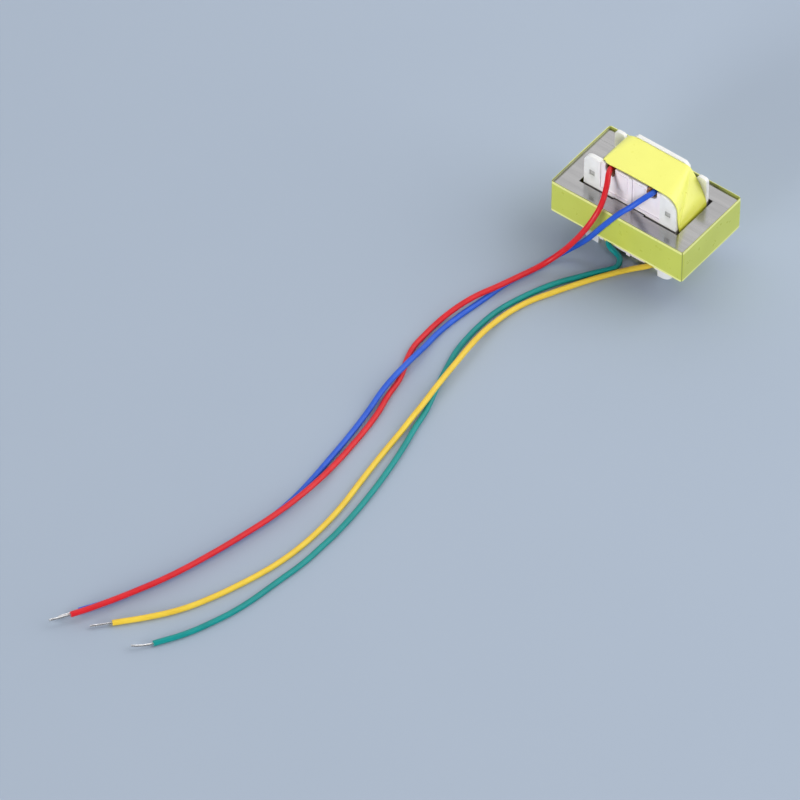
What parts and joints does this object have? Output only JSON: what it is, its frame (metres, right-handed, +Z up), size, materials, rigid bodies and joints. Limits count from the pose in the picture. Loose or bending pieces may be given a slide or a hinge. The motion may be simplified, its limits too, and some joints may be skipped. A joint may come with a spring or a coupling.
{
  "type": "microphone transformer",
  "caption": "Small audio transformer: a flat interleaved plate core with taped edges, a taped coil on a moulded bobbin, and plastic-insulated flying leads with tinned ends.",
  "frame": {"origin": "under the middle of the core, on the surface that the bobbin's flanges stand on", "axes": "+X along the core's long side, +Y from the front flange with the leads to the rear flange, +Z up"},
  "size_m": [0.0391, 0.1379, 0.0203],
  "materials": {
    "core_steel": "rolled silicon steel sheet with a thin oxide film",
    "bobbin_nylon": "moulded natural nylon, slightly translucent",
    "enamelled_wire": "enamelled copper wire",
    "clear_film": "thin polyester film",
    "solder": "tin solder over twisted strands",
    "coil_tape_film": "yellow polyester adhesive tape",
    "core_tape_film": "yellow polyester adhesive tape over dark edges",
    "red_insulation": "extruded soft vinyl",
    "blue_insulation": "extruded soft vinyl",
    "green_insulation": "extruded soft vinyl",
    "yellow_insulation": "extruded soft vinyl"
  },
  "bodies": {
    "root": {"e_plates_front": "core_steel", "e_plates_rear": "core_steel", "i_plates_front": "core_steel", "i_plates_rear": "core_steel", "bobbin": "bobbin_nylon", "primary_winding": "enamelled_wire", "winding_insulation": "clear_film", "secondary_winding": "enamelled_wire", "winding_cover": "clear_film", "solder_joint_red": "solder", "solder_joint_blue": "solder", "solder_joint_green": "solder", "solder_joint_yellow": "solder", "coil_tape": "coil_tape_film", "core_tape": "core_tape_film", "lead_red": "red_insulation", "lead_blue": "blue_insulation", "lead_green": "green_insulation", "lead_yellow": "yellow_insulation", "tinned_end_red": "solder", "tinned_end_blue": "solder", "tinned_end_green": "solder", "tinned_end_yellow": "solder"}
  },
  "joints": []
}
